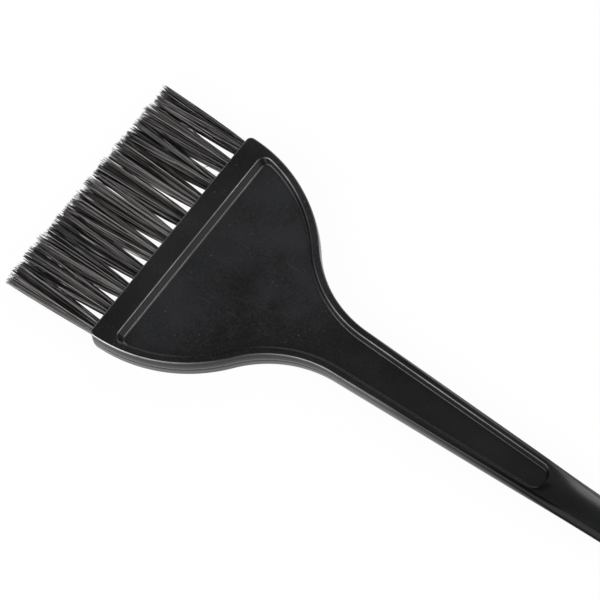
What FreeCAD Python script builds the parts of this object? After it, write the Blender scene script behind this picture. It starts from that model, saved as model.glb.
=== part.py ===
"""Wide tint brush: a moulded handle with a row of anchored filament tufts.

Millimetres, +Z up. The brush lies on its flat back face. While it is modelled, X = 0 is the front
face of the head and +X runs down the handle; place() then moves the origin to the centre of the
bounding box, on the back face. Y runs across the head.
"""
import FreeCAD
import Part
import math
import os

from FreeCAD import Vector

# ---- driving dimensions ---------------------------------------------------------------------
# moulded handle, seen from above
HEAD_WIDTH = 82.0
HANDLE_LENGTH = 185.0
WIDEST_AT = 2.0
SHOULDER_RADIUS = 51.1
NECK_DISTANCE = 70.0
NECK_WIDTH = 17.4
TAIL_WIDTH = 10.8
HEAD_CORNER_RADIUS = 1.9
# moulded handle, seen from the side
HEAD_THICKNESS = 8.7
TAIL_THICKNESS = 6.6
PARTING_BULGE = 0.2
EDGE_RADIUS = 0.6
TAIL_EDGE_RADIUS = 2.7
ROUND_STEPS = 4
# recessed panel in each face
FRONT_BAND = 7.4
RIM_WIDTH = 2.35
RECESS_DEPTH = 2.0
RECESS_WALL_RUN = 1.25
RECESS_END = 144.0
FLOOR_CORNER_RADIUS = 1.0
RIM_BREAK = 0.3
FLOOR_EASE = 0.3
# tuft holes
TUFT_COUNT = 11
ROW_MARGIN = 4.0
HOLE_DIAMETER = 5.2
HOLE_DEPTH = 6.4
# flat wire anchors
ANCHOR_THICKNESS = 0.4
ANCHOR_WIDTH = 1.6
ANCHOR_BITE = 0.4
ANCHOR_SETBACK = 0.6
# filament tufts
BRISTLE_LENGTH = 34.0
FLARE_LENGTH = 11.0
TUFT_TIP_THICKNESS = 6.2
TUFT_TIP_GAP = 0.6
ROW_TIP_MARGIN = 1.0
STRAND_RINGS = 3
FIRST_RING_COUNT = 6
STRAND_SIDES = 3
STRAND_ROOT_SIZE = 0.33
STRAND_FLARE_SIZE = 0.36
STRAND_TIP_SIZE = 0.22
STRAND_ROOTING = 1.0
TIP_RAGGEDNESS = 1.6
TIP_STRAY = 0.1
SCATTER_STEPS = (7, 3, 5)
# fits
FIT_CLEARANCE = 0.05

# ---- derived values -------------------------------------------------------------------------
HALF_HEAD = HEAD_WIDTH / 2
HOLE_RADIUS = HOLE_DIAMETER / 2
TUFT_Z = HEAD_THICKNESS / 2
ROW_HALF_SPAN = HALF_HEAD - ROW_MARGIN
TUFT_PITCH = 2 * ROW_HALF_SPAN / (TUFT_COUNT - 1)
TUFT_TIP_PITCH = (HEAD_WIDTH - 2 * ROW_TIP_MARGIN + TUFT_TIP_GAP) / TUFT_COUNT
TUFT_TIP_WIDTH = TUFT_TIP_PITCH - TUFT_TIP_GAP
ANCHOR_LENGTH = HOLE_DIAMETER + 2 * ANCHOR_BITE
ROOT_RADIUS = HOLE_RADIUS - FIT_CLEARANCE
ORIGIN_X = (HANDLE_LENGTH + PARTING_BULGE - BRISTLE_LENGTH) / 2
CUT_MARGIN = 0.5


# ---- plan outline ---------------------------------------------------------------------------
def shoulder_circle(inset):
    """Centre and radius of the convex shoulder, which is widest just behind the front face."""
    return Vector(WIDEST_AT, HALF_HEAD - SHOULDER_RADIUS, 0), SHOULDER_RADIUS - inset


def side_normal(start, end):
    """Outward normal of a straight side of the grip."""
    slope = math.atan2(start.y - end.y, end.x - start.x)
    return Vector(math.sin(slope), math.cos(slope), 0)


def grip_line(head_inset, tail_inset):
    """Straight side of the grip as two points, moved in by its inset at the neck and at the tail."""
    start = Vector(NECK_DISTANCE, NECK_WIDTH / 2, 0)
    end = Vector(HANDLE_LENGTH, TAIL_WIDTH / 2, 0)
    outward = side_normal(start, end)
    return start - outward * head_inset, end - outward * tail_inset


def neck_circle(shoulder, shoulder_r, inset):
    """Centre and radius of the concave neck, tangent to the shoulder and to the grip's side."""
    start, end = grip_line(inset, inset)
    outward = side_normal(start, end)
    gap = shoulder - start
    radius = (gap.dot(gap) - shoulder_r**2) / (2 * (shoulder_r + gap.dot(outward)))
    return start + outward * radius, radius


def arc_points(centre, radius, start, end):
    """Three points of the arc about centre from start to end, on the shorter side."""
    middle = (start + end) / 2 - centre
    return start, centre + middle.normalize() * radius, end


def half_outline(front_x, tail_x, head_inset, tail_inset, corner):
    """The +Y side from the front face to the tail's end: arcs as three points, lines as two."""
    shoulder, shoulder_r = shoulder_circle(head_inset)
    neck, neck_r = neck_circle(shoulder, shoulder_r, head_inset)
    grip_start, grip_far = grip_line(head_inset, tail_inset)
    outward = side_normal(grip_start, grip_far)
    # front corner, tangent to the front line and inside the shoulder
    corner_x = front_x + corner
    corner_y = shoulder.y + math.sqrt((shoulder_r - corner)**2 - (corner_x - shoulder.x)**2)
    corner_centre = Vector(corner_x, corner_y, 0)
    front = Vector(front_x, corner_y, 0)
    corner_end = shoulder + (corner_centre - shoulder).normalize() * shoulder_r
    shoulder_end = shoulder + (neck - shoulder).normalize() * shoulder_r
    # round end, tangent to both sides of the grip
    reach = grip_start.dot(outward)
    end_x = (tail_x - reach) / (1 - outward.x)
    end_centre = Vector(end_x, 0, 0)
    end_r = tail_x - end_x
    grip_end = end_centre + outward * end_r
    return [
        arc_points(corner_centre, corner, front, corner_end),
        arc_points(shoulder, shoulder_r, corner_end, shoulder_end),
        arc_points(neck, neck_r, shoulder_end, grip_start),
        (grip_start, grip_end),
        arc_points(end_centre, end_r, grip_end, Vector(tail_x, 0, 0)),
    ]


def outline(front_x, tail_x, head_inset, tail_inset, corner, height):
    """Closed outline, with each point lifted to the height that its X calls for."""
    side = half_outline(front_x, tail_x, head_inset, tail_inset, corner)
    other = [[Vector(point.x, -point.y, 0) for point in points] for points in side]
    front_line = (other[0][0], side[0][0])
    edges = []
    for points in [front_line] + side + other:
        lifted = [Vector(point.x, point.y, height(point.x)) for point in points]
        curve = Part.Arc(*lifted) if len(lifted) == 3 else Part.LineSegment(*lifted)
        edges.append(curve.toShape())
    return Part.Wire(Part.__sortEdges__(edges))


# ---- moulded handle -------------------------------------------------------------------------
def top_height(x):
    """Height of the top face, which slopes down to the tail."""
    return HEAD_THICKNESS + (TAIL_THICKNESS - HEAD_THICKNESS) * x / HANDLE_LENGTH


def edge_radius(x):
    """Radius of the rounded edges, which grows from the neck to the tail."""
    share = max(0, (x - NECK_DISTANCE) / (HANDLE_LENGTH - NECK_DISTANCE))
    return EDGE_RADIUS + (TAIL_EDGE_RADIUS - EDGE_RADIUS) * share


def rounding_steps():
    """Inset and height of each corner of a stepped quarter round of radius 1, face to side."""
    angles = [math.pi / 2 * i / ROUND_STEPS for i in range(ROUND_STEPS + 1)]
    return [(1 - math.sin(angle), 1 - math.cos(angle)) for angle in angles]


def blank_level(inset, height):
    """Outline of the moulding where its rounded edges are moved in by this share of their radius."""
    head_inset = EDGE_RADIUS * inset
    tail_inset = TAIL_EDGE_RADIUS * inset
    corner = HEAD_CORNER_RADIUS - head_inset
    return outline(head_inset, HANDLE_LENGTH - tail_inset, head_inset, tail_inset, corner, height)


def blank():
    """The solid moulding: rounded edges that soften to the tail, and sides drafted both ways."""
    lower = []
    upper = []
    for inset, rise in rounding_steps():
        lower.append(blank_level(inset, lambda x: edge_radius(x) * rise))
        upper.append(blank_level(inset, lambda x: top_height(x) - edge_radius(x) * rise))
    bulge = -PARTING_BULGE
    tail_x = HANDLE_LENGTH + PARTING_BULGE
    parting = outline(0, tail_x, bulge, bulge, HEAD_CORNER_RADIUS, lambda x: top_height(x) / 2)
    return Part.makeLoft(lower + [parting] + upper[::-1], True, True)


def recess_cutter(face, outward):
    """Tool for the recess in a face: a broken rim, sloped walls and an eased floor edge.

    The face's height is face(x), and outward is 1 for the top face and -1 for the back.
    """
    wall_slope = RECESS_WALL_RUN / RECESS_DEPTH
    levels = (
        (-RIM_BREAK - CUT_MARGIN, -CUT_MARGIN),
        (0, RIM_BREAK),
        (RECESS_WALL_RUN - FLOOR_EASE * wall_slope, RECESS_DEPTH - FLOOR_EASE),
        (RECESS_WALL_RUN + FLOOR_EASE, RECESS_DEPTH),
    )
    wires = []
    for step_in, depth in levels:
        corner = FLOOR_CORNER_RADIUS + RECESS_WALL_RUN + FLOOR_EASE - step_in
        inset = RIM_WIDTH + step_in
        front_x = FRONT_BAND + step_in
        tail_x = RECESS_END - step_in
        wires.append(outline(front_x, tail_x, inset, inset, corner, lambda x: face(x) - outward * depth))
    return Part.makeLoft(wires, True, True)


def tuft_places():
    """Y of each tuft hole, in a row centred on the head."""
    return [i * TUFT_PITCH - ROW_HALF_SPAN for i in range(TUFT_COUNT)]


def anchor_bar(y, clearance):
    """Flat wire lying across the hole at y, near its bottom, grown by clearance."""
    size = (ANCHOR_WIDTH, ANCHOR_LENGTH, ANCHOR_THICKNESS)
    near_x = HOLE_DEPTH - ANCHOR_SETBACK - ANCHOR_WIDTH
    corner = Vector(near_x, y - ANCHOR_LENGTH / 2, TUFT_Z - ANCHOR_THICKNESS / 2)
    grow = Vector(clearance, clearance, clearance)
    return Part.makeBox(*[side + 2 * clearance for side in size], corner - grow)


def handle():
    """Head, neck, grip and tail in one moulding, with a recess in each face and the tuft holes."""
    tools = [recess_cutter(top_height, 1), recess_cutter(lambda x: 0, -1)]
    for y in tuft_places():
        start = Vector(-CUT_MARGIN, y, TUFT_Z)
        tools.append(Part.makeCylinder(HOLE_RADIUS, HOLE_DEPTH + CUT_MARGIN, start, Vector(1, 0, 0)))
        tools.append(anchor_bar(y, 0))
    return blank().cut(tools)


# ---- filament tufts -------------------------------------------------------------------------
def scatter(number):
    """A fixed value from -1 to 1 for each whole number, spread evenly by the golden ratio."""
    return 2 * (number * (math.sqrt(5) - 1) / 2 % 1) - 1


def strand_places():
    """Strand places over a round section of radius 1, as (across, up), in concentric rings."""
    places = [(0.0, 0.0)]
    for ring in range(1, STRAND_RINGS + 1):
        count = FIRST_RING_COUNT * ring
        for i in range(count):
            angle = 2 * math.pi * i / count
            reach = ring / STRAND_RINGS
            places.append((reach * math.cos(angle), reach * math.sin(angle)))
    return places


def strand_ring(centre, size):
    """Corners of a strand's section, which stands across X."""
    ring = []
    for i in range(STRAND_SIDES):
        angle = 2 * math.pi * i / STRAND_SIDES
        ring.append(centre + Vector(0, size * math.cos(angle), size * math.sin(angle)))
    return ring


def polygon(corners):
    """Flat face with the given corners."""
    return Part.Face(Part.makePolygon(corners + corners[:1]))


def strand(sections):
    """Flat-sided filament through its sections, each given as (centre, size)."""
    rings = [strand_ring(centre, size) for centre, size in sections]
    faces = [polygon(rings[0]), polygon(rings[-1])]
    for low, high in zip(rings, rings[1:]):
        for i in range(STRAND_SIDES):
            j = (i + 1) % STRAND_SIDES
            faces.append(polygon([low[i], low[j], high[j], high[i]]))
    return Part.Solid(Part.Shell(faces))


def tuft_root(y):
    """Packed root that fills the hole, with the slot where it is folded over its anchor."""
    length = HOLE_DEPTH - FIT_CLEARANCE
    plug = Part.makeCylinder(ROOT_RADIUS, length, Vector(0, y, TUFT_Z), Vector(1, 0, 0))
    return plug.cut(anchor_bar(y, FIT_CLEARANCE))


def tuft_strand(y, number, across, up):
    """Strand that leaves the root, spreads while the tuft flares, then runs on to its tip."""
    root_reach = ROOT_RADIUS - STRAND_ROOT_SIZE
    reach_y = TUFT_TIP_WIDTH / 2 - STRAND_FLARE_SIZE
    reach_z = TUFT_TIP_THICKNESS / 2 - STRAND_FLARE_SIZE
    tip_y = y * TUFT_TIP_PITCH / TUFT_PITCH
    flare_y = y + (tip_y - y) * FLARE_LENGTH / BRISTLE_LENGTH
    mouth = Vector(0, y + across * root_reach, TUFT_Z + up * root_reach)
    inside = mouth + Vector(STRAND_ROOTING, 0, 0)
    flare = Vector(-FLARE_LENGTH, flare_y + across * reach_y, TUFT_Z + up * reach_z)
    tip = Vector(-BRISTLE_LENGTH, tip_y + across * reach_y, flare.z)
    # the middle strand is full length and the others end a little short of it, each its own way
    short, stray_y, stray_z = [scatter(number * step) for step in SCATTER_STEPS]
    if across or up:
        tip += Vector(TIP_RAGGEDNESS * abs(short), TIP_STRAY * stray_y, TIP_STRAY * stray_z)
    return strand([
        (inside, STRAND_ROOT_SIZE),
        (mouth, STRAND_ROOT_SIZE),
        (flare, STRAND_FLARE_SIZE),
        (tip, STRAND_TIP_SIZE),
    ])


def tuft(index, y):
    """Root and strands of one tuft, in one piece."""
    places = strand_places()
    first = index * len(places)
    strands = [tuft_strand(y, first + i, across, up) for i, (across, up) in enumerate(places)]
    return tuft_root(y).fuse(strands)


# ---- assembly -------------------------------------------------------------------------------
def place(shape):
    """Move the origin to the centre of the bounding box, on the back face."""
    placed = shape.copy()
    placed.translate(Vector(-ORIGIN_X, 0, 0))
    return placed


def main():
    parts = {"handle": handle()}
    for index, y in enumerate(tuft_places(), 1):
        parts[f"tuft_{index:02d}"] = tuft(index, y)
        parts[f"anchor_{index:02d}"] = anchor_bar(y, 0)
    os.makedirs("parts", exist_ok=True)
    for name, shape in parts.items():
        place(shape).exportStep(f"parts/{name}.step")


main()
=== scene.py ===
"""Tint brush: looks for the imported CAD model. Metres, in the CAD frame, +Z up."""
import math
import random

import bmesh
import bpy
from mathutils import Matrix, Vector


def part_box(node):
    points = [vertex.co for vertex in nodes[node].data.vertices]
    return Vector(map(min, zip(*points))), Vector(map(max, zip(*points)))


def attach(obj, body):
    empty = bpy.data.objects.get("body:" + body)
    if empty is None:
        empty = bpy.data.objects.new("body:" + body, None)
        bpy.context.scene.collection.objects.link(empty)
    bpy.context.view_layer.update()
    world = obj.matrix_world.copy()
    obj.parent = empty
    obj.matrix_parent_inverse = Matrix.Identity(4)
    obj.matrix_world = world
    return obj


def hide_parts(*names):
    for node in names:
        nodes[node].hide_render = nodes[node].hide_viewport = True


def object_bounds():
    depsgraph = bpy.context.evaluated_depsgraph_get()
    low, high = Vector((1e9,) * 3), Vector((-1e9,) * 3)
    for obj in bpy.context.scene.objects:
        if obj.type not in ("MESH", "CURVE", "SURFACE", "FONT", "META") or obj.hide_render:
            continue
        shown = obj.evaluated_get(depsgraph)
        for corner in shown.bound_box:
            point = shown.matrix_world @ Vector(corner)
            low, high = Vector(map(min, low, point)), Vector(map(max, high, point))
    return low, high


MM = 0.001
SEED = 11

# ---- camera and stage -----------------------------------------------------------------------
LOOK_FROM_FRONT_FACE = 46.95 * MM     # along the handle, from the front face to what the camera faces
LOOK_ACROSS = 5.09 * MM
LOOK_HEIGHT = 8.17 * MM
CAMERA_AZIMUTH = 49.775
CAMERA_ELEVATION = 64.917
CAMERA_ROLL = -13.842
CAMERA_DISTANCE = 1.5
CAMERA_LENS = 293.56
FLOOR_SIZE = 3.0
FLOOR_GAP = 0.05 * MM                 # below the back face, so that the two are never level
FLOOR_GLOW_SHARE = 0.96
WORLD_STRENGTH = 0.22

# ---- moulded handle, in mm ------------------------------------------------------------------
# as in the CAD model
HALF_HEAD = 41.0
HANDLE_LENGTH = 185.0
WIDEST_AT = 2.0
SHOULDER_RADIUS = 51.1
NECK_DISTANCE = 70.0
NECK_WIDTH = 17.4
TAIL_WIDTH = 10.8
HEAD_CORNER_RADIUS = 1.9
HEAD_THICKNESS = 8.7
TAIL_THICKNESS = 6.6
PARTING_BULGE = 0.2
FRONT_BAND = 7.4
RECESS_DEPTH = 2.0
RECESS_END = 144.0
HOLE_RADIUS = 2.6
HOLE_DEPTH = 6.4
# truer or finer than in the CAD model
EDGE_RADIUS = 0.4
TAIL_EDGE_RADIUS = 1.7                # height of the rounded edge at the tail
TAIL_EDGE_RUN = 2.6                   # and its width there
SIDE_BARREL = 0.08                    # how much the side wall curves, besides its bulge
RIM_WIDTH = 2.4
SIDE_WALL_RUN = 0.75
FRONT_WALL_RUN = 1.8
FLOOR_CORNER_RADIUS = 2.0
RIM_ROUND = 0.5
FLOOR_ROUND = 0.5
FRONT_FLOOR_ROUND = 0.9
BOTTOM_FLAT_TO = 32.0                 # from here the back face rises to the tail
BOTTOM_RISE = 2.8
GROOVE_WIDTH = 0.3                    # of the fine groove at the parting line
GROOVE_DEPTH = 0.1
CROWN = 0.97                          # of the grip's faces, past the recess
CROWN_START = 130.0
CROWN_FULL = 156.0
# edges with a painted highlight, which fades down the handle
HIGHLIGHT_FULL_TO = 30.0
EDGE_HIGHLIGHT_REACH = 95.0
RIM_HIGHLIGHT_REACH = 170.0
RIM_HIGHLIGHT = 0.5
FLOOR_HIGHLIGHT = 0.35
END_HIGHLIGHT = 0.7
FRONT_HIGHLIGHT = 0.25
SIDE_FOCUS = 7                        # how squarely an edge with a painted highlight faces the side
END_FOCUS = 12                        # or the front or the tail
# places that are less glossy
WALL_MATT_FADE = 1.5
FLOOR_MATT = 0.6
TAIL_MATT_FROM = 90.0
TAIL_MATT_TO = 140.0
# dust and marks, placed from the front face
DUSTY_TO = 55.0
CLEAN_FROM = 95.0
CLEAN_SHARE = 0.15
BAND_DUST_FROM = 7.0
BAND_DUST_TO = 10.0
BAND_DUST_SHARE = 0.45
SMUDGE_DISTANCE = 32.0
SMUDGE_ACROSS = -15.0
SMUDGE_INNER = 2.0
SMUDGE_OUTER = 5.0
SMUDGE_RAGGED = 3.0
SMUDGE_DUST_SHARE = 0.15
SCRATCH_SOFTNESS = 0.03
# steps of its surface
CORNER_STEPS = 10
SHOULDER_STEPS = 90
NECK_STEPS = 60
GRIP_STEPS = 80
END_STEPS = 14
CELL_STEPS = 10
OUTER_STEPS = 7
CELL_CORNER_STEPS = 3
EDGE_STEPS = 6
WALL_STEPS = 5
RIM_STEPS = 5
FACE_STEPS = 14
RECESS_RINGS = 2 * (RIM_STEPS + 1)
WALL_RINGS = WALL_STEPS + 1
SHARP_ANGLE = math.radians(60)

# ---- filaments ------------------------------------------------------------------------------
FILAMENTS_PER_TUFT = 190
CLUMPS_PER_TUFT = 13
COLUMNS_PER_TUFT = 5
FILAMENT_RADIUS = 0.13 * MM
FILAMENT_TIP_SHARE = 0.6              # tip radius over full radius
FILAMENT_TAPER = 8                    # the higher, the nearer the tip the taper starts
FILAMENT_SIDES = 5
FILAMENT_RINGS = 10
FILAMENT_BOW = 0.15 * MM
ROOT_RADIUS = 2.45 * MM               # of the bundle where it leaves its hole
SWELL = 0.4 * MM
SWELL_RUN = 3 * MM
ROOT_DEPTH = 2.0 * MM                 # how far each filament starts inside the hole
TIP_HALF_THICKNESS = 2.95 * MM
FACE_MARGIN = 0.6 * MM                # filaments stay this far inside the head's faces
# how far from the head each gap between two tufts stays open, from the +Y end to the -Y end
GAP_LENGTHS = [length * MM for length in (44, 17, 19, 28, 27, 24, 19, 24, 20, 22)]
END_SLOPE = 0.034                     # how much the two ends of the row spread
COLUMN_NOISE = math.radians(0.6)
CLUMP_NOISE = math.radians(0.6)
CLUMP_PULL = 0.3                      # how far filaments gather into their clump at the tips
DIRECTION_NOISE = math.radians(0.75)
STRAY_SHARE = 0.08
STRAY_NOISE = math.radians(3.5)
EDGE_HOLD = 0.5                       # how much the filaments beside a gap keep to their line
CLUMP_SHORT = 0.55 * MM               # typical shortness of a clump
TIP_SHORT = 0.5 * MM                  # typical shortness of a filament in its clump
MOST_SHORT = 3 * MM
DARK_BIAS = 3                         # the higher, the more filaments are dark
END_BACKLIGHT_SHADE = 0.75                      # least shade of the filaments at the -Y end: painted backlight, paler as if light passed through them
END_BACKLIGHT_PAST = 0.7                  # how far across the end tuft they start
# one loose filament, numbered from the -Y end by its tuft, that is bent sideways towards -Y
BENT_TUFT = 9
BENT_SIDE = 7.4 * MM
BENT_RUN = 6.5 * MM
BENT_LENGTH = 19 * MM
BENT_PLACE = 0.8                      # how far across its tuft it stands
BENT_LIFT = 0.3 * MM                  # how far it stands above its tuft
BENT_SHADE = 0.3

# ---- colours --------------------------------------------------------------------------------
CLEAN_PLASTIC = (0.0018, 0.0018, 0.002)
DUSTY_PLASTIC = (0.0108, 0.0112, 0.0128)
SCUFFED_PLASTIC = (0.014, 0.014, 0.015)
FINE_SPECK = (0.019, 0.019, 0.02)
SPECK = (0.026, 0.026, 0.027)
# painted highlight on the edges, a bright metallic colour
PAINTED_EDGE_HIGHLIGHT = (0.72, 0.72, 0.725)
DARK_NYLON = (0.0035, 0.0032, 0.0031)
PALE_NYLON = (0.265, 0.25, 0.246)
BRIGHT_BRASS = (0.80, 0.62, 0.32)
TARNISHED_BRASS = (0.46, 0.33, 0.16)
FLOOR_GREY = (0.85, 0.85, 0.85)
WARM_LIGHT = (1, 0.96, 0.86)
WHITE = (1, 1, 1)

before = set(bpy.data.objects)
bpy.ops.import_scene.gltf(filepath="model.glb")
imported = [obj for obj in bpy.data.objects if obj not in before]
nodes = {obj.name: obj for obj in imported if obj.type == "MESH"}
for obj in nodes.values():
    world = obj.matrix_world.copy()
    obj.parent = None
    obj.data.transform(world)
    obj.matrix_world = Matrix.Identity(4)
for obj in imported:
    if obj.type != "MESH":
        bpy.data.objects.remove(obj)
cad_low, cad_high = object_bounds()
handle_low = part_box("handle")[0]
tuft_names = sorted(name for name in nodes if name.startswith("tuft_"))
anchor_names = sorted(name for name in nodes if name.startswith("anchor_"))
anchor_places = [sum(corner.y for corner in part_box(name)) / 2 for name in anchor_names]
tuft_pitch = (max(anchor_places) - min(anchor_places)) / (len(anchor_places) - 1)
rng = random.Random(SEED)


def bounded(value, low, high):
    return min(high, max(low, value))


# ---- materials ------------------------------------------------------------------------------
def new_material(name):
    material = bpy.data.materials.new(name)
    material.use_nodes = True
    tree = material.node_tree
    return material, tree, tree.nodes["Principled BSDF"]


def add_node(tree, kind, **values):
    """New node with the given attributes."""
    node = tree.nodes.new(kind)
    for key, value in values.items():
        setattr(node, key, value)
    return node


def add_noise(tree, coordinates, scale, detail=2.0, stretch=(1, 1, 1), turn=0.0):
    """Noise over object coordinates, scale per metre, stretched and turned about Z."""
    mapping = add_node(tree, "ShaderNodeMapping")
    mapping.inputs["Scale"].default_value = stretch
    mapping.inputs["Rotation"].default_value = (0, 0, turn)
    noise = add_node(tree, "ShaderNodeTexNoise")
    noise.inputs["Scale"].default_value = scale
    noise.inputs["Detail"].default_value = detail
    tree.links.new(coordinates, mapping.inputs["Vector"])
    tree.links.new(mapping.outputs["Vector"], noise.inputs["Vector"])
    return noise.outputs["Fac"]


def add_range(tree, value, from_low, from_high, to_low, to_high):
    ranged = add_node(tree, "ShaderNodeMapRange")
    ranged.inputs["From Min"].default_value = from_low
    ranged.inputs["From Max"].default_value = from_high
    ranged.inputs["To Min"].default_value = to_low
    ranged.inputs["To Max"].default_value = to_high
    tree.links.new(value, ranged.inputs["Value"])
    return ranged.outputs["Result"]


def add_math(tree, operation, first, second):
    """Math node; each operand is a socket or a number."""
    node = add_node(tree, "ShaderNodeMath", operation=operation)
    for socket, operand in zip(node.inputs, (first, second)):
        if isinstance(operand, (int, float)):
            socket.default_value = operand
        else:
            tree.links.new(operand, socket)
    return node.outputs[0]


def add_mix(tree, factor, first, second):
    """Colour mix; each colour is a socket or a tuple."""
    # a mix node's inputs 6 and 7 are its colours, and output 2 is the mixed colour
    node = add_node(tree, "ShaderNodeMix", data_type="RGBA")
    tree.links.new(factor, node.inputs["Factor"])
    for socket, colour in zip((node.inputs[6], node.inputs[7]), (first, second)):
        if isinstance(colour, tuple):
            socket.default_value = colour + (1,)
        else:
            tree.links.new(colour, socket)
    return node.outputs[2]


def add_specks(tree, coordinates, per_metre, size, share):
    """Sparse round specks: 1 in a speck and 0 elsewhere. A share of the cells has one, sized in cells."""
    cells = add_node(tree, "ShaderNodeTexVoronoi")
    cells.inputs["Scale"].default_value = per_metre
    tree.links.new(coordinates, cells.inputs["Vector"])
    split = add_node(tree, "ShaderNodeSeparateColor")
    tree.links.new(cells.outputs["Color"], split.inputs["Color"])
    chosen = add_math(tree, "LESS_THAN", split.outputs["Red"], share)
    reach = add_math(tree, "MULTIPLY", split.outputs["Green"], size)
    inside = add_math(tree, "LESS_THAN", cells.outputs["Distance"], reach)
    return add_math(tree, "MULTIPLY", chosen, inside)


def add_scratches(tree, coordinates, turn, scale, threshold):
    """Fine straight scratches in one direction: 1 on a scratch and 0 elsewhere."""
    noise = add_noise(tree, coordinates, scale, detail=1.0, stretch=(0.035, 1, 1), turn=turn)
    return add_range(tree, noise, threshold, threshold + SCRATCH_SOFTNESS, 0, 1)


def behind_front(tree, along, start, end, low, high):
    """Value that goes from low to high between two distances in mm behind the front face."""
    return add_range(tree, along, handle_low.x + start * MM, handle_low.x + end * MM, low, high)


def add_dust(tree, place, along, cloud, blotch):
    """Cloudy dust: thinner on the front band and wiped off at a smudge."""
    fine = add_noise(tree, place, scale=1500, detail=2.0)
    clouds = add_range(tree, cloud, 0.35, 0.7, 0, 1)
    dust = add_math(tree, "ADD", clouds, add_range(tree, blotch, 0.4, 0.7, 0, 0.5))
    dust = add_math(tree, "ADD", dust, add_range(tree, fine, 0.3, 0.7, -0.5, 0.5))
    off_band = behind_front(tree, along, BAND_DUST_FROM, BAND_DUST_TO, BAND_DUST_SHARE, 1)
    dust = add_math(tree, "MULTIPLY", dust, off_band)
    smudge = add_node(tree, "ShaderNodeVectorMath", operation="DISTANCE")
    smudge_x = handle_low.x + SMUDGE_DISTANCE * MM
    smudge.inputs[1].default_value = (smudge_x, SMUDGE_ACROSS * MM, HEAD_THICKNESS * MM)
    tree.links.new(place, smudge.inputs[0])
    ragged = add_range(tree, blotch, 0.3, 0.7, -SMUDGE_RAGGED * MM, SMUDGE_RAGGED * MM)
    reach = add_math(tree, "ADD", smudge.outputs["Value"], ragged)
    wiped = add_range(tree, reach, SMUDGE_INNER * MM, SMUDGE_OUTER * MM, SMUDGE_DUST_SHARE, 1)
    return add_math(tree, "MULTIPLY", dust, wiped)


def add_scuffs(tree, place, blotch):
    """Two directions of fine scratches, in patches."""
    first = add_scratches(tree, place, turn=0.5, scale=1500, threshold=0.735)
    second = add_scratches(tree, place, turn=-0.9, scale=1200, threshold=0.745)
    scratch = add_math(tree, "MAXIMUM", first, second)
    return add_math(tree, "MULTIPLY", scratch, add_range(tree, blotch, 0.5, 0.65, 0, 1))


def add_grain(tree, place):
    """Fine moulded grain, as a normal."""
    bump = add_node(tree, "ShaderNodeBump")
    bump.inputs["Strength"].default_value = 0.25
    bump.inputs["Distance"].default_value = 0.00002
    tree.links.new(add_noise(tree, place, scale=2600, detail=2.0), bump.inputs["Height"])
    return bump.outputs["Normal"]


def handle_plastic():
    """Black moulded plastic: cloudy sheen, fine grain, painted highlights on its edges, and dust and scuffs
    on the head.
    """
    material, tree, shader = new_material("handle_plastic")
    links = tree.links
    place = add_node(tree, "ShaderNodeTexCoord").outputs["Object"]
    split = add_node(tree, "ShaderNodeSeparateXYZ")
    links.new(place, split.inputs["Vector"])
    along = split.outputs["X"]
    cloud = add_noise(tree, place, scale=34, detail=4.0)
    blotch = add_noise(tree, place, scale=95, detail=3.0)
    on_head = behind_front(tree, along, DUSTY_TO, CLEAN_FROM, 1, CLEAN_SHARE)
    dust = add_math(tree, "MULTIPLY", add_dust(tree, place, along, cloud, blotch), on_head)
    scuff = add_math(tree, "MULTIPLY", add_scuffs(tree, place, blotch), on_head)
    specks = add_specks(tree, place, per_metre=520, size=0.13, share=0.4)
    specks = add_math(tree, "MULTIPLY", specks, on_head)
    fine_specks = add_specks(tree, place, per_metre=1200, size=0.24, share=0.5)
    fine_specks = add_math(tree, "MULTIPLY", fine_specks, on_head)
    # painted highlight: a bright, partly metallic colour on the edges, most where they face -Y
    edge = add_node(tree, "ShaderNodeAttribute", attribute_name="painted_highlight").outputs["Fac"]
    edge_highlight = add_math(tree, "MULTIPLY", edge, add_range(tree, blotch, 0.3, 0.7, 0.45, 1))
    colour = add_mix(tree, dust, CLEAN_PLASTIC, DUSTY_PLASTIC)
    colour = add_mix(tree, scuff, colour, SCUFFED_PLASTIC)
    colour = add_mix(tree, fine_specks, colour, FINE_SPECK)
    colour = add_mix(tree, specks, colour, SPECK)
    links.new(add_mix(tree, edge_highlight, colour, PAINTED_EDGE_HIGHLIGHT), shader.inputs["Base Color"])
    links.new(add_math(tree, "MULTIPLY", edge_highlight, 0.85), shader.inputs["Metallic"])
    matt = add_node(tree, "ShaderNodeAttribute", attribute_name="matt").outputs["Fac"]
    links.new(add_range(tree, matt, 0, 1, 0.5, 0.12), shader.inputs["Specular IOR Level"])
    rough = add_range(tree, cloud, 0.35, 0.7, 0.2, 0.28)
    rough = add_math(tree, "ADD", rough, add_math(tree, "MULTIPLY", scuff, 0.15))
    rough = add_math(tree, "ADD", rough, add_math(tree, "MULTIPLY", specks, 0.3))
    links.new(rough, shader.inputs["Roughness"])
    links.new(add_grain(tree, place), shader.inputs["Normal"])
    shader.inputs["IOR"].default_value = 1.5
    return material


def filament_nylon():
    """Dark brown-black drawn nylon: each filament has its own shade, and the pale ones are glossier."""
    material, tree, shader = new_material("filament")
    links = tree.links
    shade = add_node(tree, "ShaderNodeAttribute", attribute_name="shade").outputs["Fac"]
    place = add_node(tree, "ShaderNodeTexCoord").outputs["Object"]
    along = add_noise(tree, place, scale=500, detail=2.0, stretch=(0.2, 1, 1))
    mixed = add_math(tree, "ADD", shade, add_range(tree, along, 0.3, 0.7, -0.1, 0.1))
    links.new(add_mix(tree, mixed, DARK_NYLON, PALE_NYLON), shader.inputs["Base Color"])
    links.new(add_range(tree, shade, 0, 1, 0.34, 0.2), shader.inputs["Roughness"])
    links.new(add_range(tree, shade, 0, 0.5, 0.06, 0.65), shader.inputs["Specular IOR Level"])
    shader.inputs["IOR"].default_value = 1.53
    return material


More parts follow.
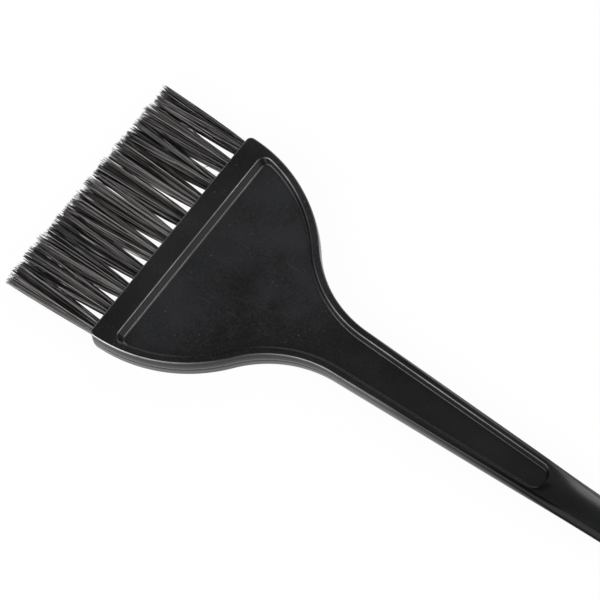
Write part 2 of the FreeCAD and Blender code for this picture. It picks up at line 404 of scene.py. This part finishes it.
def anchor_brass():
    """Drawn brass wire: fine drawing lines and a slight tarnish."""
    material, tree, shader = new_material("anchor_wire")
    links = tree.links
    place = add_node(tree, "ShaderNodeTexCoord").outputs["Object"]
    lines = add_noise(tree, place, scale=9000, detail=2.0, stretch=(1, 0.03, 1))
    tarnish = add_range(tree, add_noise(tree, place, scale=700, detail=3.0), 0.45, 0.7, 0, 1)
    links.new(add_mix(tree, tarnish, BRIGHT_BRASS, TARNISHED_BRASS), shader.inputs["Base Color"])
    shader.inputs["Metallic"].default_value = 1.0
    links.new(add_range(tree, lines, 0.3, 0.7, 0.25, 0.45), shader.inputs["Roughness"])
    return material


def floor_white():
    """White floor: it mostly glows where it is seen or mirrored, and lights the object as plain diffuse."""
    material, tree, shader = new_material("floor")
    tree.nodes.remove(shader)
    out = tree.nodes["Material Output"]
    diffuse = add_node(tree, "ShaderNodeBsdfDiffuse")
    diffuse.inputs["Color"].default_value = FLOOR_GREY + (1,)
    glow = add_node(tree, "ShaderNodeEmission")
    glow.inputs["Color"].default_value = WHITE + (1,)
    share = add_node(tree, "ShaderNodeMixShader")
    path = add_node(tree, "ShaderNodeLightPath").outputs
    seen = add_math(tree, "MAXIMUM", path["Is Camera Ray"], path["Is Glossy Ray"])
    seen = add_math(tree, "MAXIMUM", seen, path["Is Transmission Ray"])
    links = tree.links
    links.new(add_math(tree, "MULTIPLY", seen, FLOOR_GLOW_SHARE), share.inputs[0])
    links.new(diffuse.outputs[0], share.inputs[1])
    links.new(glow.outputs[0], share.inputs[2])
    links.new(share.outputs[0], out.inputs["Surface"])
    return material


# ---- handle ---------------------------------------------------------------------------------
def side_normal(start, end):
    """Outward normal of a straight side of the grip."""
    slope = math.atan2(start.y - end.y, end.x - start.x)
    return Vector((math.sin(slope), math.cos(slope)))


def grip_line(head_inset, tail_inset):
    """Straight side of the grip as two points, moved in by its inset at the neck and at the tail."""
    start = Vector((NECK_DISTANCE, NECK_WIDTH / 2))
    end = Vector((HANDLE_LENGTH, TAIL_WIDTH / 2))
    outward = side_normal(start, end)
    return start - outward * head_inset, end - outward * tail_inset


def arc(centre, start, end, count):
    """Points from start up to but not at the end, the shorter way round centre."""
    first = start - centre
    last = end - centre
    turn = math.atan2(first.x * last.y - first.y * last.x, first.dot(last))
    return [centre + Matrix.Rotation(turn * i / count, 2) @ first for i in range(count)]


def half_outline(front_x, tail_x, head_inset, tail_inset, corner):
    """Points of the +Y side of the plan, from the end of the front line to the tail's end."""
    shoulder = Vector((WIDEST_AT, HALF_HEAD - SHOULDER_RADIUS))
    shoulder_r = SHOULDER_RADIUS - head_inset
    start, end = grip_line(head_inset, head_inset)
    outward = side_normal(start, end)
    # centre of the neck's arc, which touches the shoulder's arc and the start of the grip's side
    gap = shoulder - start
    neck = start + outward * (gap.dot(gap) - shoulder_r**2) / (2 * (shoulder_r + gap.dot(outward)))
    grip_start, grip_far = grip_line(head_inset, tail_inset)
    outward = side_normal(grip_start, grip_far)
    # centre of the corner's arc, which touches the front line and the shoulder's arc
    corner_x = front_x + corner
    corner_y = shoulder.y + math.sqrt((shoulder_r - corner)**2 - (corner_x - shoulder.x)**2)
    corner_centre = Vector((corner_x, corner_y))
    corner_end = shoulder + (corner_centre - shoulder).normalized() * shoulder_r
    shoulder_end = shoulder + (neck - shoulder).normalized() * shoulder_r
    # centre of the tail's arc, which touches the grip's two sides
    end_x = (tail_x - grip_start.dot(outward)) / (1 - outward.x)
    end_centre = Vector((end_x, 0))
    grip_end = end_centre + outward * (tail_x - end_x)
    tail = Vector((tail_x, 0))
    points = arc(corner_centre, Vector((front_x, corner_y)), corner_end, CORNER_STEPS)
    points += arc(shoulder, corner_end, shoulder_end, SHOULDER_STEPS)
    points += arc(neck, shoulder_end, grip_start, NECK_STEPS)
    points += [grip_start.lerp(grip_end, i / GRIP_STEPS) for i in range(GRIP_STEPS)]
    points += arc(end_centre, grip_end, tail, END_STEPS)
    return points + [tail]


front_line_end = half_outline(0, HANDLE_LENGTH, 0, 0, HEAD_CORNER_RADIUS)[0].y


def front_shares():
    """Places along the front line, as shares of its half length: each tuft has a cell of steps."""
    pitch = tuft_pitch / MM
    inner = pitch * (len(tuft_names) / 2 - 1)
    steps = CELL_STEPS * (len(tuft_names) - 2)
    shares = [(2 * i / steps - 1) * inner / front_line_end for i in range(steps + 1)]
    margin = [i / OUTER_STEPS for i in range(1, OUTER_STEPS)]
    high = [shares[-1] + (1 - shares[-1]) * share for share in margin]
    return [-share for share in high[::-1]] + shares + high


front_places = front_shares()


def plan_ring(front_x, tail_x, head_inset, tail_inset, corner):
    """Closed plan outline: +Y side, -Y side back to the front, then the front line to +Y."""
    side = half_outline(front_x, tail_x, head_inset, tail_inset, corner)
    other = [Vector((point.x, -point.y)) for point in side[-2::-1]]
    front = [Vector((front_x, side[0].y * share)) for share in front_places]
    return side + other + front


def top_height(x):
    return HEAD_THICKNESS + (TAIL_THICKNESS - HEAD_THICKNESS) * x / HANDLE_LENGTH


def bottom_height(x):
    """The back face leaves the ground behind the head and rises to the tail."""
    return BOTTOM_RISE * max(0, x - BOTTOM_FLAT_TO) / (HANDLE_LENGTH - BOTTOM_FLAT_TO)


def middle_height(x):
    return (top_height(x) + bottom_height(x)) / 2


def edge_radius(x):
    share = max(0, (x - NECK_DISTANCE) / (HANDLE_LENGTH - NECK_DISTANCE))
    return EDGE_RADIUS + (TAIL_EDGE_RADIUS - EDGE_RADIUS) * share


def crowned(x, y, z):
    """Height after the grip's faces are crowned, which grows past the end of the recess."""
    share = bounded((x - CROWN_START) / (CROWN_FULL - CROWN_START), 0, 1)
    crown = CROWN * share * share * (3 - 2 * share)
    start, end = grip_line(0, 0)
    half_width = start.y + (end.y - start.y) * (x - start.x) / (end.x - start.x)
    across = bounded(abs(y) / half_width, 0, 1) if x > CROWN_START else 0
    middle = middle_height(x)
    return middle + (z - middle) * math.sqrt(1 - (crown * across)**2)


def outer_rings():
    """Rings from the flat face round its edge and down the side to just short of the parting line.

    Each is (plan points, depth below the face at each, painted highlight).
    """
    rings = []
    for i in range(EDGE_STEPS + 1):
        angle = math.pi / 2 * i / EDGE_STEPS
        front_x = EDGE_RADIUS * (1 - math.sin(angle))
        tail_inset = TAIL_EDGE_RUN * (1 - math.sin(angle))
        corner = HEAD_CORNER_RADIUS - front_x
        plan = plan_ring(front_x, HANDLE_LENGTH - tail_inset, front_x + SIDE_BARREL, tail_inset, corner)
        depths = [edge_radius(point.x) * (1 - math.cos(angle)) for point in plan]
        rings.append((plan, depths, math.sin(2 * angle)))
    for i in range(1, WALL_STEPS + 1):
        share = i / WALL_STEPS
        bulge = -PARTING_BULGE * math.sin(share * math.pi / 2)
        barrel = bulge + SIDE_BARREL * (1 - share)**2
        plan = plan_ring(0, HANDLE_LENGTH - bulge, barrel, bulge, HEAD_CORNER_RADIUS)
        depths = []
        for point in plan:
            start = edge_radius(point.x)
            wall = top_height(point.x) - middle_height(point.x) - GROOVE_WIDTH / 2 - start
            depths.append(start + wall * share)
        rings.append((plan, depths, 0))
    return rings


def wall_section(run, floor_round):
    """Rounded rim, sloped wall and rounded floor edge of the recess: (step in, depth, painted highlight) of
    each.
    """
    slope = math.atan2(RECESS_DEPTH, run)
    reach = math.tan(slope / 2)
    section = []
    for i in range(RIM_STEPS + 1):
        angle = slope * i / RIM_STEPS
        step_in = RIM_ROUND * (math.sin(angle) - reach)
        section.append((step_in, RIM_ROUND * (1 - math.cos(angle)), math.sin(math.pi * i / RIM_STEPS)))
    for i in range(RIM_STEPS + 1):
        angle = slope * (1 - i / RIM_STEPS)
        step_in = run + floor_round * (reach - math.sin(angle))
        depth = RECESS_DEPTH - floor_round * (1 - math.cos(angle))
        section.append((step_in, depth, FLOOR_HIGHLIGHT * math.sin(math.pi * i / RIM_STEPS)))
    return section


def recess_rings():
    """Rings from the recess's rim down to its floor. Its front wall slopes more gently than its sides."""
    rings = []
    sides = wall_section(SIDE_WALL_RUN, FLOOR_ROUND)
    fronts = wall_section(FRONT_WALL_RUN, FRONT_FLOOR_ROUND)
    for side, front in zip(sides, fronts):
        inset = RIM_WIDTH + side[0]
        corner = FLOOR_CORNER_RADIUS + SIDE_WALL_RUN - side[0]
        plan = plan_ring(FRONT_BAND + front[0], RECESS_END - side[0], inset, inset, corner)
        depths = []
        for i in range(len(plan)):
            from_corner = min(i, len(plan) - len(front_places) - 1 - i)
            share = bounded(from_corner / CORNER_STEPS, 0, 1)
            depths.append(front[1] + (side[1] - front[1]) * share)
        rings.append((plan, depths, side[2]))
    return rings


def face_rings():
    """All rings of one face, from its recess floor out to the parting line."""
    recess = recess_rings()
    outer = outer_rings()
    rim_plan = recess[0][0]
    edge_plan = outer[0][0]
    between = []
    for i in range(1, FACE_STEPS):
        share = i / FACE_STEPS
        plan = [first.lerp(last, share) for first, last in zip(rim_plan, edge_plan)]
        between.append((plan, [0] * len(plan), 0))
    return recess[::-1] + between + outer


def ring_painted_highlight(points, inward):
    """How much painted highlight the edge gets along a ring: most where it faces -Y, less where it faces
    along X.

    It fades down the handle. A recess's edges face inward.
    """
    painted_highlights = []
    reach = RIM_HIGHLIGHT_REACH if inward else EDGE_HIGHLIGHT_REACH
    for i, point in enumerate(points):
        along = points[(i + 1) % len(points)] - points[i - 1]
        facing = Vector((-along.y, along.x)).normalized()
        if inward:
            facing.negate()
        highlight = max(
            max(0, -facing.y)**SIDE_FOCUS,
            END_HIGHLIGHT * max(0, facing.x)**END_FOCUS,
            FRONT_HIGHLIGHT * max(0, -facing.x)**END_FOCUS,
        )
        fade = bounded(1 - (point.x - HIGHLIGHT_FULL_TO) / (reach - HIGHLIGHT_FULL_TO), 0, 1)
        painted_highlights.append(highlight * fade * (RIM_HIGHLIGHT if inward else 1))
    return painted_highlights


def handle_point(point, z):
    return Vector((handle_low.x + point.x * MM, point.y * MM, crowned(point.x, point.y, z) * MM))


def tuft_cells(ring_length):
    """First and last column of each tuft's cell in a ring, from -Y to +Y."""
    first_front = ring_length - len(front_places)
    start = first_front + OUTER_STEPS - 1
    cells = [(first_front - 1 - CELL_CORNER_STEPS, start)]
    for i in range(len(tuft_names) - 2):
        cells.append((start + i * CELL_STEPS, start + (i + 1) * CELL_STEPS))
    cells.append((cells[-1][1], ring_length + CELL_CORNER_STEPS))
    return cells


def add_hole(vertices, faces, loop, centre_y, centre_z):
    """Fill between a loop of vertices on the front face and a tuft hole, and add the hole."""
    line_end = front_line_end * MM
    corner = HEAD_CORNER_RADIUS * MM
    mouth = []
    for index in loop:
        point = vertices[index]
        angle = math.atan2(point.z - centre_z, point.y - centre_y)
        y = centre_y + HOLE_RADIUS * MM * math.cos(angle)
        z = centre_z + HOLE_RADIUS * MM * math.sin(angle)
        # past the front line's end, the face turns into the head's corner
        past = max(0, abs(y) - line_end)
        x = handle_low.x + corner - math.sqrt(corner**2 - past**2)
        mouth.append(len(vertices))
        vertices.append(Vector((x, y, z)))
    bottom = []
    for index in mouth:
        point = vertices[index]
        bottom.append(len(vertices))
        vertices.append(Vector((handle_low.x + HOLE_DEPTH * MM, point.y, point.z)))
    for i in range(len(loop)):
        j = (i + 1) % len(loop)
        faces.append((loop[i], loop[j], mouth[j], mouth[i]))
        faces.append((mouth[i], mouth[j], bottom[j], bottom[i]))
    faces.append(tuple(bottom))


def handle_levels(face):
    """Points and painted highlight of every ring, from the lower recess's floor, round the side, to the
    upper one's.
    """
    lower = []
    upper = []
    painted_highlights = []
    for number, (plan, depths, painted_highlight) in enumerate(face):
        lower.append([handle_point(p, bottom_height(p.x) + depth) for p, depth in zip(plan, depths)])
        upper.append([handle_point(p, top_height(p.x) - depth) for p, depth in zip(plan, depths)])
        painted_highlights.append([painted_highlight * share for share in ring_painted_highlight(plan, number < RECESS_RINGS)])
    middle = GROOVE_DEPTH - PARTING_BULGE
    plan = plan_ring(0, HANDLE_LENGTH - middle, middle, middle, HEAD_CORNER_RADIUS)
    parting = [handle_point(point, middle_height(point.x)) for point in plan]
    return lower + [parting] + upper[::-1], painted_highlights + [[0] * len(parting)] + painted_highlights[::-1]


def ring_matt(level, points, first_edge):
    """How matt a ring is: on the recess's side walls, most at -Y, and on the outer edge near the tail."""
    side_end = len(points) - len(front_places) - CORNER_STEPS
    shares = []
    for column, point in enumerate(points):
        share = 0
        on_side_wall = 0 < level < RECESS_RINGS and column < side_end
        if on_side_wall and level <= RIM_STEPS:
            share = FLOOR_MATT
        if on_side_wall and point.y < 0:
            share = 1
        if level >= first_edge:
            share = bounded((point.x - TAIL_MATT_FROM) / (TAIL_MATT_TO - TAIL_MATT_FROM), 0, 1)
            if point.y > 0:
                share *= bounded((CROWN_FULL - point.x) / (CROWN_FULL - TAIL_MATT_TO), 0, 1)
        shares.append(share)
    return shares


def handle_matt(face):
    """How matt every ring is. The top of the side wall, just under its edge, is matt too."""
    last_edge = len(face) - WALL_RINGS
    half = [ring_matt(level, face[level][0], last_edge - EDGE_STEPS) for level in range(last_edge + 1)]
    length = len(half[0])
    for step in range(1, WALL_RINGS):
        half.append([(1 - step / WALL_RINGS)**WALL_MATT_FADE] * length)
    return half + [[0] * length] + half[::-1]


def surface_faces(length, level_count, cells, first_wall, last_wall):
    """Faces between the rings, with the cells of the tuft holes left open, and both recess floors."""
    first_column = cells[0][0]
    last_column = cells[-1][1]
    last_start = length * (level_count - 1)
    faces = [tuple(range(length)), tuple(range(last_start + length - 1, last_start - 1, -1))]
    for level in range(level_count - 1):
        low = level * length
        high = low + length
        for column in range(length):
            in_wall = first_wall <= level < last_wall
            in_cells = column >= first_column or column < last_column - length
            if in_wall and in_cells:
                continue
            after = (column + 1) % length
            faces.append((low + column, low + after, high + after, high + column))
    return faces


def cell_loop(length, first, last, first_wall, last_wall):
    """Vertices round one tuft's cell of the front face."""
    loop = [first_wall * length + column % length for column in range(first, last)]
    loop += [level * length + last % length for level in range(first_wall, last_wall)]
    loop += [last_wall * length + column % length for column in range(last, first, -1)]
    return loop + [level * length + first % length for level in range(last_wall, first_wall, -1)]


def set_values(mesh, name, values):
    """Give each vertex a value that the material reads by name."""
    attribute = mesh.attributes.new(name, "FLOAT", "POINT")
    attribute.data.foreach_set("value", values)


def handle_mesh():
    face = face_rings()
    levels, painted_highlights = handle_levels(face)
    matts = handle_matt(face)
    length = len(levels[0])
    first_wall = len(face) - WALL_RINGS
    last_wall = len(face) + WALL_RINGS
    cells = tuft_cells(length)
    vertices = [point for level in levels for point in level]
    faces = surface_faces(length, len(levels), cells, first_wall, last_wall)
    centre_z = HEAD_THICKNESS / 2 * MM
    for (first, last), anchor_y in zip(cells, sorted(anchor_places)):
        loop = cell_loop(length, first, last, first_wall, last_wall)
        add_hole(vertices, faces, loop, anchor_y, centre_z)
    in_holes = [0] * (len(vertices) - length * len(levels))
    mesh = bpy.data.meshes.new("handle_moulding")
    mesh.from_pydata(vertices, [], faces)
    mesh.polygons.foreach_set("use_smooth", [True] * len(mesh.polygons))
    # the painted highlight on the edges
    set_values(mesh, "painted_highlight", [painted_highlight for level in painted_highlights for painted_highlight in level] + in_holes)
    set_values(mesh, "matt", [matt for level in matts for matt in level] + in_holes)
    work = bmesh.new()
    work.from_mesh(mesh)
    bmesh.ops.recalc_face_normals(work, faces=work.faces)
    for edge in work.edges:
        edge.smooth = len(edge.link_faces) < 2 or edge.calc_face_angle() < SHARP_ANGLE
    work.to_mesh(mesh)
    work.free()
    mesh.update()
    return mesh


def moulding():
    piece = bpy.data.objects.new("handle_moulding", handle_mesh())
    bpy.context.scene.collection.objects.link(piece)
    piece.data.materials.append(handle_plastic())
    weighted = piece.modifiers.new("weighted_normals", "WEIGHTED_NORMAL")
    weighted.mode = "FACE_AREA"
    weighted.keep_sharp = True
    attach(piece, "root")
    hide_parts("handle")


# ---- filament tufts -------------------------------------------------------------------------
def disc_places(count):
    """Places spread evenly over a disc of radius 1, by the golden angle."""
    golden = math.pi * (3 - math.sqrt(5))
    places = []
    for i in range(count):
        reach = math.sqrt((i + 0.5) / count)
        places.append((reach * math.cos(i * golden), reach * math.sin(i * golden)))
    return places


def filament_mesh(filaments, name):
    """One mesh of thin round filaments, each given as (points, shade)."""
    vertices = []
    faces = []
    shades = []
    for points, shade in filaments:
        first = len(vertices)
        for number, point in enumerate(points):
            share = number / (len(points) - 1)
            radius = FILAMENT_RADIUS * (1 - (1 - FILAMENT_TIP_SHARE) * share**FILAMENT_TAPER)
            for side in range(FILAMENT_SIDES):
                angle = 2 * math.pi * side / FILAMENT_SIDES
                vertices.append(point + Vector((0, radius * math.cos(angle), radius * math.sin(angle))))
                shades.append(shade)
        for ring in range(len(points) - 1):
            low = first + ring * FILAMENT_SIDES
            for side in range(FILAMENT_SIDES):
                after = (side + 1) % FILAMENT_SIDES
                faces.append((
                    low + side,
                    low + FILAMENT_SIDES + side,
                    low + FILAMENT_SIDES + after,
                    low + after,
                ))
        last = first + (len(points) - 1) * FILAMENT_SIDES
        faces.append(tuple(range(first, first + FILAMENT_SIDES)))
        faces.append(tuple(range(last + FILAMENT_SIDES - 1, last - 1, -1)))
    mesh = bpy.data.meshes.new(name)
    mesh.from_pydata(vertices, [], faces)
    for polygon in mesh.polygons:
        polygon.use_smooth = len(polygon.vertices) == 4
    set_values(mesh, "shade", shades)
    mesh.update()
    return mesh


def filament_points(root_y, root_z, slope_y, slope_z, length, bow_y, bow_z, swell):
    """Points of a filament from inside its hole to its tip: nearly straight, with a slight bow.

    The bundle swells by a little sideways just after it leaves its hole.
    """
    front_x = handle_low.x
    points = []
    for ring in range(FILAMENT_RINGS):
        share = ring / (FILAMENT_RINGS - 1)
        out = (length + ROOT_DEPTH) * share - ROOT_DEPTH
        past = max(0, out)
        bow = math.sin(math.pi * past / length)
        y = root_y + slope_y * past + bow_y * bow + swell * (1 - math.exp(-past / SWELL_RUN))
        z = root_z + slope_z * past + bow_z * bow
        z = bounded(z, cad_low.z + FACE_MARGIN, cad_high.z - FACE_MARGIN)
        points.append(Vector((front_x - out, y, z)))
    return points


def bent_filament(root_y, root_z):
    """Points of the loose filament that bends towards -Y just outside the head."""
    points = []
    for ring in range(2 * FILAMENT_RINGS):
        out = (BENT_LENGTH + ROOT_DEPTH) * ring / (2 * FILAMENT_RINGS - 1) - ROOT_DEPTH
        share = bounded(out / BENT_RUN, 0, 1)
        aside = BENT_SIDE * share * share * (3 - 2 * share)
        points.append(Vector((handle_low.x - out, root_y - aside, root_z)))
    return points


def freedom(across):
    """How freely filaments lean sideways. Those that edge a gap keep more to their line."""
    return 1 - EDGE_HOLD * across * across


def clump_habits(count):
    """For each clump of a tuft: its place in the disc, two slope offsets and its shortness."""
    columns = [rng.gauss(0, COLUMN_NOISE) for _ in range(COLUMNS_PER_TUFT)]
    habits = []
    for across, up in disc_places(count):
        column = columns[int((across + 1) / 2 * COLUMNS_PER_TUFT)]
        lean_y = (column + rng.gauss(0, CLUMP_NOISE)) * freedom(across)
        habits.append((across, up, lean_y, rng.gauss(0, CLUMP_NOISE), abs(rng.gauss(0, CLUMP_SHORT))))
    return habits


def tuft_filaments(index, centre_y, centre_z):
    """Points and shade of each filament of a tuft, which fans out to meet its neighbours."""
    full_length = handle_low.x - cad_low.x
    gap_half = (tuft_pitch - 2 * ROOT_RADIUS) / 2
    # the gaps are listed from the +Y end, and tufts are numbered from the -Y end
    gaps = GAP_LENGTHS[::-1]
    slope_low = gap_half / gaps[index - 1] if index else END_SLOPE
    slope_high = gap_half / gaps[index] if index < len(gaps) else END_SLOPE
    pull = CLUMP_PULL * ROOT_RADIUS / full_length
    clumps = clump_habits(CLUMPS_PER_TUFT)
    filaments = []
    for across, up in disc_places(FILAMENTS_PER_TUFT):
        nearest = min(clumps, key=lambda clump: (clump[0] - across)**2 + (clump[1] - up)**2)
        clump_across, clump_up, lean_y, lean_z, clump_short = nearest
        side_share = (across + 1) / 2
        slope_y = slope_high * side_share - slope_low * (1 - side_share)
        slope_z = up * (TIP_HALF_THICKNESS - ROOT_RADIUS) / full_length
        slope_y += lean_y + (clump_across - across) * pull * (1 - abs(across))
        slope_z += lean_z + (clump_up - up) * pull
        noise = STRAY_NOISE if rng.random() < STRAY_SHARE else DIRECTION_NOISE
        slope_y += rng.gauss(0, noise) * freedom(across)
        slope_z += rng.gauss(0, DIRECTION_NOISE)
        length = full_length - min(MOST_SHORT, clump_short + abs(rng.gauss(0, TIP_SHORT)))
        bow_y = rng.gauss(0, FILAMENT_BOW)
        bow_z = rng.gauss(0, FILAMENT_BOW)
        root_y = centre_y + across * ROOT_RADIUS
        root_z = centre_z + up * ROOT_RADIUS
        limit = (cad_high.y - FILAMENT_RADIUS - SWELL - abs(root_y)) / length
        slope_y = min(slope_y, limit) if root_y > 0 else max(slope_y, -limit)
        swell = SWELL * across
        points = filament_points(root_y, root_z, slope_y, slope_z, length, bow_y, bow_z, swell)
        shade = rng.random()**DARK_BIAS
        # painted backlight: the outermost filaments of the -Y end tuft are paler
        if index == 0 and across < -END_BACKLIGHT_PAST:
            shade = max(shade, END_BACKLIGHT_SHADE)
        filaments.append((points, shade))
    return filaments


def tuft(index, name, material):
    anchor_low, anchor_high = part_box(name.replace("tuft", "anchor"))
    centre_y = (anchor_low.y + anchor_high.y) / 2
    centre_z = (anchor_low.z + anchor_high.z) / 2
    filaments = tuft_filaments(index, centre_y, centre_z)
    if index == BENT_TUFT:
        bent = bent_filament(centre_y + ROOT_RADIUS * BENT_PLACE, centre_z + ROOT_RADIUS + BENT_LIFT)
        filaments.append((bent, BENT_SHADE))
    piece_name = name + "_filaments"
    piece = bpy.data.objects.new(piece_name, filament_mesh(filaments, piece_name))
    bpy.context.scene.collection.objects.link(piece)
    piece.data.materials.append(material)
    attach(piece, "root")
    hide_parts(name)


# ---- stage ----------------------------------------------------------------------------------
def add_floor():
    half = FLOOR_SIZE / 2
    corners = [(x * half, y * half, -FLOOR_GAP) for x, y in ((-1, -1), (1, -1), (1, 1), (-1, 1))]
    mesh = bpy.data.meshes.new("floor")
    mesh.from_pydata(corners, [], [(0, 1, 2, 3)])
    floor = bpy.data.objects.new("floor", mesh)
    bpy.context.scene.collection.objects.link(floor)
    mesh.materials.append(floor_white())


def direction(azimuth, elevation):
    """Unit vector towards a place. Azimuth 0 is on the -Y side and 90 on the +X side."""
    turn = math.radians(azimuth)
    rise = math.radians(elevation)
    return Vector((math.sin(turn) * math.cos(rise), -math.cos(turn) * math.cos(rise), math.sin(rise)))


def add_softbox(name, azimuth, elevation, distance, width, height, radiance, colour=WHITE):
    """Area lamp aimed at the object."""
    light = bpy.data.lights.new(name, "AREA")
    light.shape = "RECTANGLE"
    light.size = width
    light.size_y = height
    light.energy = radiance * math.pi * width * height
    light.color = colour
    lamp = bpy.data.objects.new(name, light)
    back = direction(azimuth, elevation)
    lamp.location = back * distance
    lamp.rotation_mode = "QUATERNION"
    lamp.rotation_quaternion = back.to_track_quat("Z", "Y")
    bpy.context.scene.collection.objects.link(lamp)


def add_world(strength):
    world = bpy.data.worlds.new("studio")
    world.use_nodes = True
    background = world.node_tree.nodes["Background"]
    background.inputs["Color"].default_value = WHITE + (1,)
    background.inputs["Strength"].default_value = strength
    bpy.context.scene.world = world


def add_camera():
    camera = bpy.data.cameras.new("camera")
    camera.lens = CAMERA_LENS
    camera.clip_start = 0.1
    camera.clip_end = 10
    holder = bpy.data.objects.new("camera", camera)
    back = direction(CAMERA_AZIMUTH, CAMERA_ELEVATION)
    turned = math.radians(CAMERA_AZIMUTH)
    right = Vector((math.cos(turned), math.sin(turned), 0))
    up = back.cross(right)
    roll = math.radians(CAMERA_ROLL)
    rolled_right = right * math.cos(roll) + up * math.sin(roll)
    rolled_up = back.cross(rolled_right)
    look = Vector((handle_low.x + LOOK_FROM_FRONT_FACE, LOOK_ACROSS, LOOK_HEIGHT))
    turn = Matrix((rolled_right, rolled_up, back)).transposed()
    holder.matrix_world = Matrix.Translation(look + back * CAMERA_DISTANCE) @ turn.to_4x4()
    bpy.context.scene.collection.objects.link(holder)
    bpy.context.scene.camera = holder


moulding()
filament = filament_nylon()
for tuft_index, tuft_name in enumerate(tuft_names):
    tuft(tuft_index, tuft_name, filament)
brass = anchor_brass()
for anchor_name in anchor_names:
    nodes[anchor_name].material_slots[0].material = brass
add_floor()
add_world(WORLD_STRENGTH)
add_softbox("key", azimuth=-8, elevation=38, distance=1.1, width=1.7, height=0.8, radiance=3.4)
add_softbox("back", azimuth=202, elevation=30, distance=1.2, width=0.9, height=1.0, radiance=3)
add_softbox("end", azimuth=107, elevation=40, distance=1.1, width=0.5, height=0.4, radiance=5)
add_softbox(
    "end_low",
    azimuth=107,
    elevation=12,
    distance=1.1,
    width=0.5,
    height=0.25,
    radiance=0.65,
    colour=WARM_LIGHT,
)
add_camera()
bpy.context.scene.view_settings.view_transform = "Standard"
